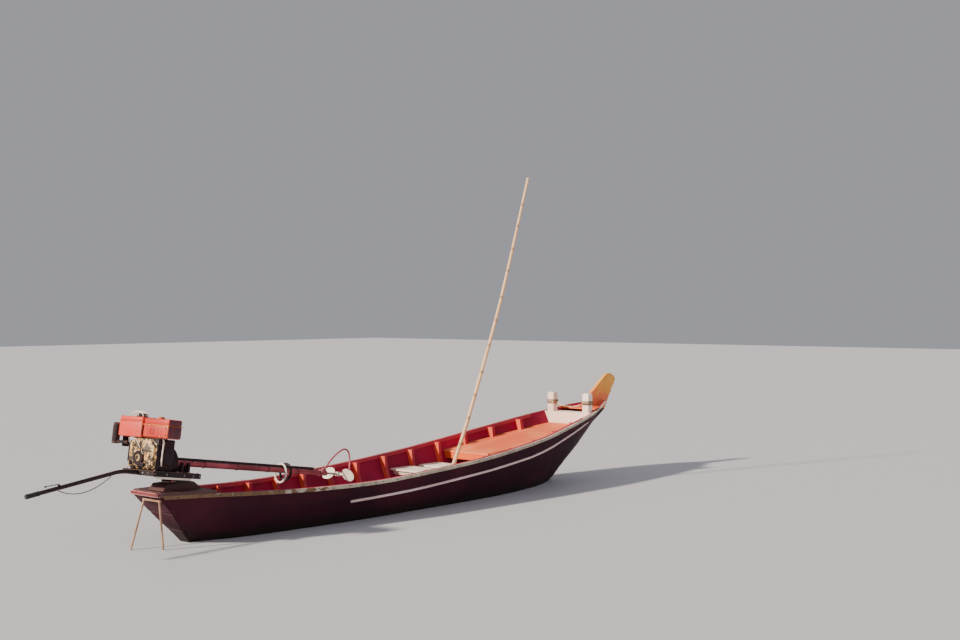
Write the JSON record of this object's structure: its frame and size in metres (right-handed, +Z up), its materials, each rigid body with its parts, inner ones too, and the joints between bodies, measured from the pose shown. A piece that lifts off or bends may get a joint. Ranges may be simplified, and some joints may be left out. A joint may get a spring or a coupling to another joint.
{
  "type": "longtail boat",
  "caption": "Wooden longtail fishing boat with framed open hull, raised stemhead, foredeck, bollards, leaning pole and a swivelling engine that drives a long tail shaft.",
  "frame": {"origin": "on the waterline in the centre plane, about amidships", "axes": "+X towards the bow, +Y to port, +Z up"},
  "size_m": [9.0234, 1.3954, 4.1391],
  "materials": {
    "hull_paint": "matte",
    "head_paint": "matte",
    "rail_paint": "matte",
    "strake_paint": "matte",
    "red_paint": "satin",
    "orange_paint": "satin",
    "deck_paint": "matte",
    "cream_paint": "matte",
    "dark_timber": "matte",
    "bamboo": "satin",
    "pipe_steel": "matte",
    "rope": "matte",
    "frame_steel": "matte",
    "tail_paint": "satin",
    "hopper_paint": "satin",
    "tank_paint": "satin",
    "block_iron": "matte",
    "dark_iron": "matte",
    "shaft_steel": "satin",
    "blade_metal": "matte",
    "black_rubber": "matte"
  },
  "bodies": {
    "hull": {"keel": "hull_paint", "stem_post": "hull_paint", "stemhead": "head_paint", "bottom_planks_aft_port": "hull_paint", "bottom_planks_mid_port": "hull_paint", "bottom_planks_fore_port": "hull_paint", "side_planks_aft_port": "hull_paint", "side_planks_mid_port": "hull_paint", "side_planks_fore_port": "hull_paint", "rub_rail_port": "rail_paint", "side_strake_port": "strake_paint", "inwale_and_frames_port": "red_paint", "bottom_planks_aft_starboard": "hull_paint", "bottom_planks_mid_starboard": "hull_paint", "bottom_planks_fore_starboard": "hull_paint", "side_planks_aft_starboard": "hull_paint", "side_planks_mid_starboard": "hull_paint", "side_planks_fore_starboard": "hull_paint", "rub_rail_starboard": "rail_paint", "side_strake_starboard": "strake_paint", "inwale_and_frames_starboard": "red_paint", "keelson_and_floors": "red_paint", "transom_board": "hull_paint", "transom_cap": "red_paint", "foredeck": "deck_paint", "foredeck_beam": "orange_paint", "bow_cross_board": "cream_paint", "bow_well_board": "red_paint", "breasthook": "orange_paint", "bollard_port": "cream_paint", "bollard_starboard": "cream_paint", "mid_board_fore": "cream_paint", "mid_board_aft": "cream_paint", "stern_deck": "dark_timber", "engine_bed": "dark_timber", "swivel_plate": "frame_steel", "pole": "bamboo", "pole_step": "red_paint", "stern_pipe_frame": "pipe_steel", "slack_rope": "rope"},
    "swivel_mount": {"swivel_yoke": "tail_paint"},
    "drive": {"engine_frame": "frame_steel", "engine_block": "block_iron", "gear_case_cover": "block_iron", "cylinder_head": "dark_iron", "water_hopper": "hopper_paint", "fuel_tank": "tank_paint", "muffler": "dark_iron", "air_cleaner": "dark_iron", "tail_tube": "tail_paint", "stiffener_pipe": "frame_steel", "propeller_guard": "tail_paint", "tail_ring_aft": "blade_metal", "tail_ring_fore": "dark_iron", "tiller": "frame_steel", "tiller_grip": "black_rubber", "throttle_cable": "black_rubber"},
    "shaft_line": {"flywheel": "dark_iron", "tail_shaft": "shaft_steel", "propeller": "blade_metal"}
  },
  "joints": [
    {"name": "drive_swivel", "type": "hinge", "parent": "hull", "child": "swivel_mount", "pos_m": [-3.63, 0, 0.5923], "axis": [0, 0, 1], "range_deg": [-12, 2]},
    {"name": "drive_tilt", "type": "hinge", "parent": "swivel_mount", "child": "drive", "pos_m": [-3.63, 0, 0.614], "axis": [0.0872, -0.9962, 0], "range_deg": [-2, 20]},
    {"name": "shaft_spin", "type": "hinge", "parent": "drive", "child": "shaft_line", "pos_m": [-3.60664, 0.00204, 0.76722], "axis": [0.9847, 0.0862, -0.1513], "continuous": true}
  ]
}
